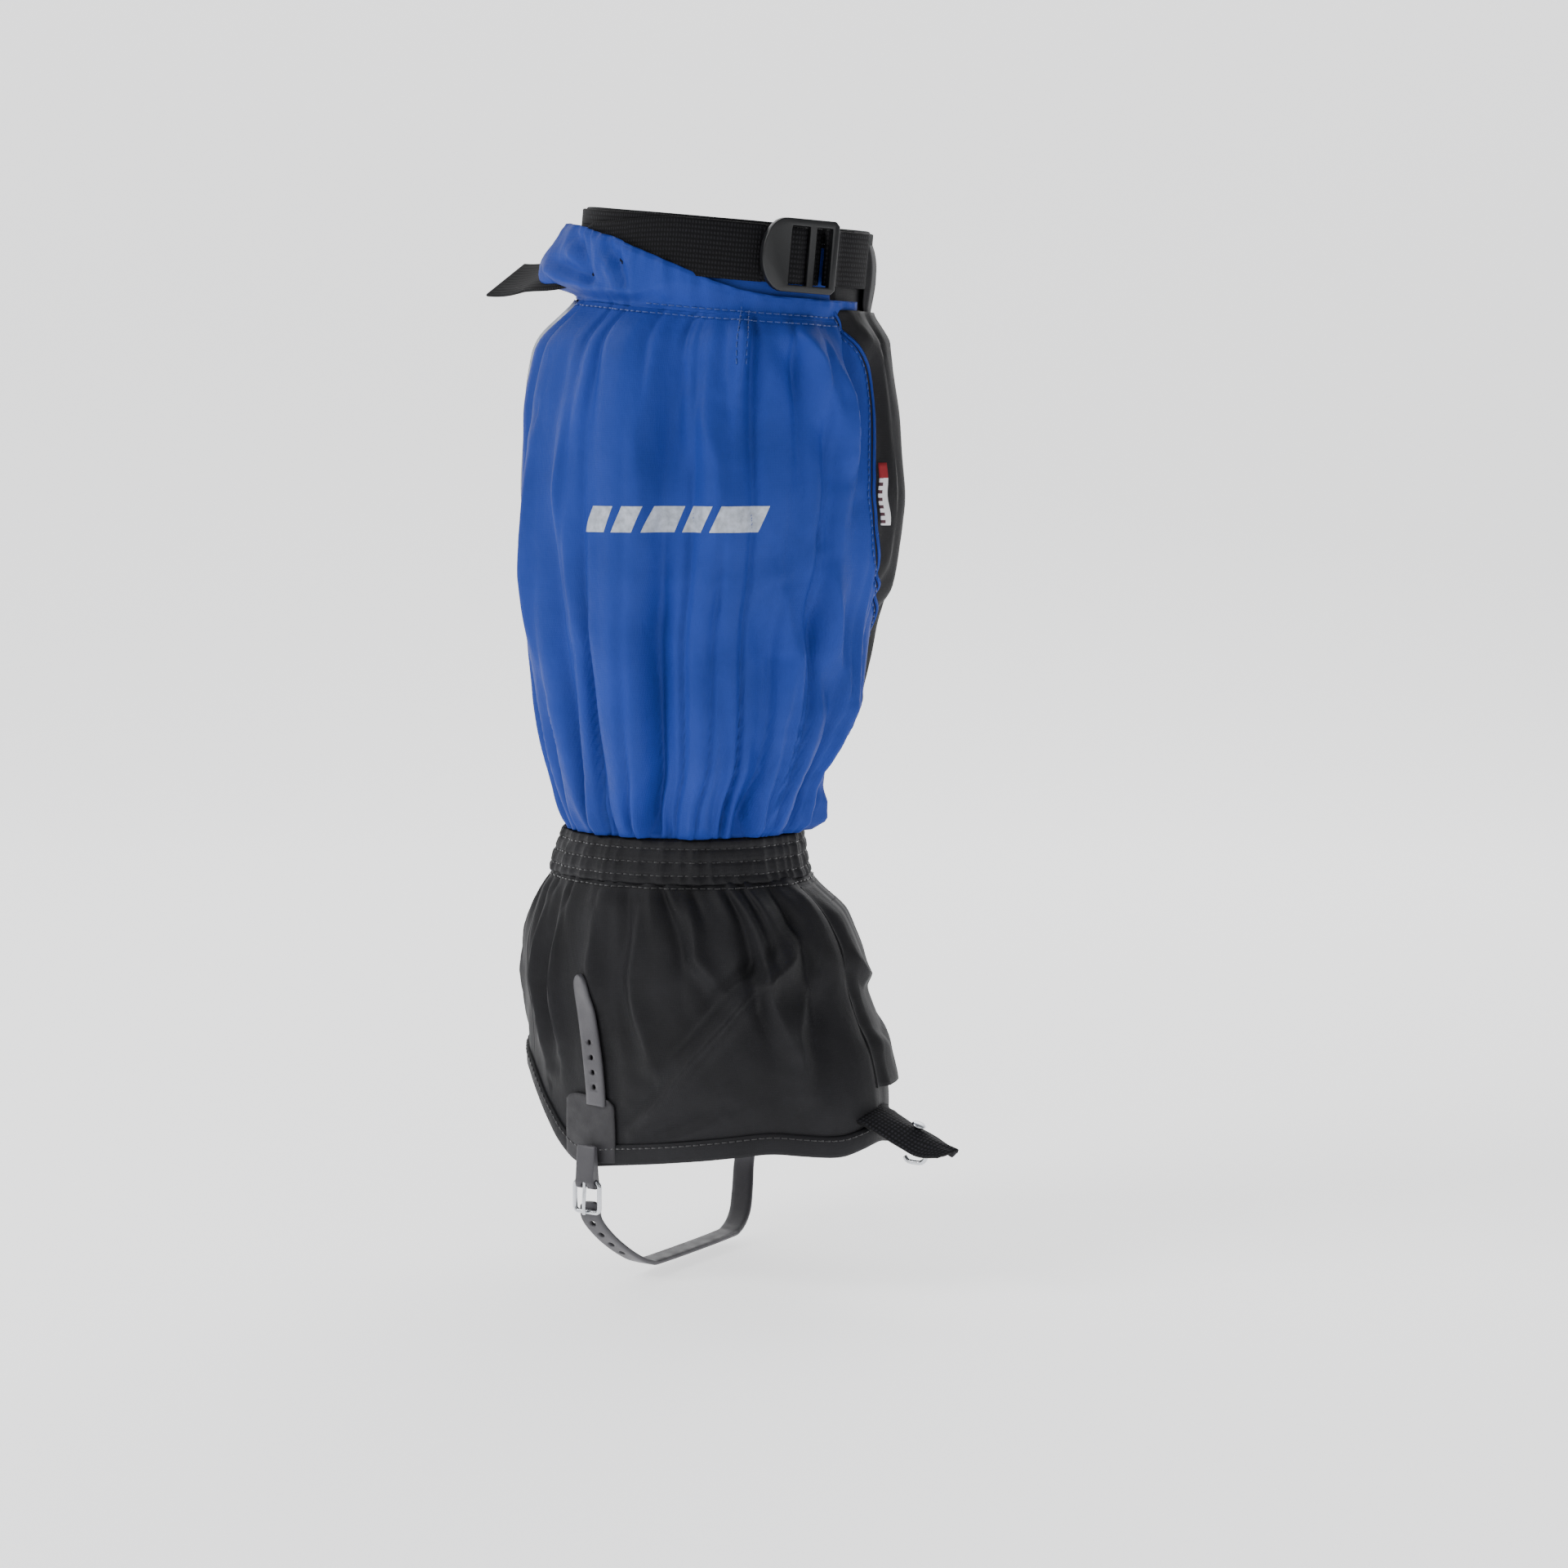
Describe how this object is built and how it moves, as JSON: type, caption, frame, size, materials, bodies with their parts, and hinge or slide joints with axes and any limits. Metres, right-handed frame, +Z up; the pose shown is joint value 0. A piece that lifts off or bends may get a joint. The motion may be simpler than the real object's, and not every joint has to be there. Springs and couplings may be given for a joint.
{
  "type": "gaiter",
  "caption": "Knee-high gaiter for the right leg: gathered nylon tube with cinch strap, front flap, flared skirt, lace hook and buckled instep strap.",
  "frame": {"origin": "on the leg's axis, at the height of the ankle gather", "axes": "+X towards the toe, -Y the outer side of the leg, +Z up the leg"},
  "size_m": [0.2342, 0.16, 0.4892],
  "materials": {
    "blue_nylon": "coated nylon, soft gloss",
    "black_nylon": "coated nylon, matte",
    "coarse_nylon": "coarse abrasion-resistant weave, matte",
    "black_webbing": "woven webbing, matte",
    "hook_loop": "hook and loop tape, matte",
    "seam_tape": "grey piping and seam tape",
    "label_cloth": "woven label, satin",
    "elastic": "ribbed knitted elastic",
    "grey_tpu": "moulded polyurethane strap, satin",
    "dark_tpu": "coated reinforcement patch, satin",
    "black_plastic": "moulded acetal, satin",
    "bright_steel": "nickel-plated steel, bright"
  },
  "bodies": {
    "gaiter": {"upper_outer_panel": "blue_nylon", "strap_tunnel": "blue_nylon", "upper_inner_panel": "black_nylon", "strap_casing": "black_nylon", "ankle_casing": "black_nylon", "skirt_outer_panel": "black_nylon", "skirt_inner_panel": "black_nylon", "bottom_hem": "black_nylon", "rim_binding": "black_webbing", "top_strap": "black_webbing", "buckle_anchor_webbing": "black_webbing", "loop_tape_upper": "hook_loop", "loop_tape_lower": "hook_loop", "back_seam_tape": "seam_tape", "front_seam_piping": "seam_tape", "ankle_elastic": "elastic", "instep_strap_end": "grey_tpu", "outer_patch": "dark_tpu", "inner_patch": "dark_tpu", "stud_post": "bright_steel", "stud_ball": "bright_steel", "instep_rivet": "bright_steel"},
    "upper_flap": {"front_flap_upper": "black_nylon", "hook_tape_upper": "hook_loop", "stud_socket": "bright_steel", "stud_cap": "black_plastic", "woven_label": "label_cloth"},
    "lower_flap": {"front_flap_lower": "black_nylon", "hook_tape_lower": "hook_loop"},
    "strap_lock": {"ladder_lock_buckle": "black_plastic"},
    "strap_tail": {"top_strap_tail": "black_webbing"},
    "tongue": {"front_tongue": "coarse_nylon", "lace_hook_tab": "black_webbing", "lace_hook_rivet": "bright_steel"},
    "lace_hook": {"lace_hook": "bright_steel"},
    "instep": {"instep_strap": "grey_tpu", "buckle_loop": "grey_tpu", "buckle_frame": "bright_steel"},
    "prong": {"buckle_prong": "bright_steel"}
  },
  "joints": [
    {"name": "upper_flap_open", "type": "hinge", "parent": "gaiter", "child": "upper_flap", "pos_m": [0.101, 0, 0.13], "axis": [0, 0, -1], "range_deg": [0, 110]},
    {"name": "lower_flap_open", "type": "hinge", "parent": "gaiter", "child": "lower_flap", "pos_m": [0.0921, 0, -0.051], "axis": [0.2759, 0, -0.9612], "range_deg": [0, 100]},
    {"name": "strap_lock_lift", "type": "hinge", "parent": "gaiter", "child": "strap_lock", "pos_m": [0.09415, -0.01945, 0.26026], "axis": [0.1045, 0, 0.9945], "range_deg": [0, 60]},
    {"name": "strap_tail_pull", "type": "hinge", "parent": "gaiter", "child": "strap_tail", "pos_m": [0.026, 0, 0.281], "axis": [-0.1045, 0, -0.9945], "range_deg": [0, 6]},
    {"name": "tongue_lift", "type": "hinge", "parent": "gaiter", "child": "tongue", "pos_m": [0.1085, 0, -0.1215], "axis": [0, -1, 0], "range_deg": [0, 30]},
    {"name": "lace_hook_swing", "type": "hinge", "parent": "tongue", "child": "lace_hook", "pos_m": [0.1223, 0, -0.13123], "axis": [0, 1, 0], "range_deg": [0, 30]},
    {"name": "instep_strap_swing", "type": "hinge", "parent": "gaiter", "child": "instep", "pos_m": [-0.009, 0, -0.146], "axis": [0, 1, 0], "range_deg": [-30, 30]},
    {"name": "buckle_prong_lift", "type": "hinge", "parent": "instep", "child": "prong", "pos_m": [-0.009, -0.0655, -0.157], "axis": [-1, 0, 0], "range_deg": [0, 75]}
  ]
}
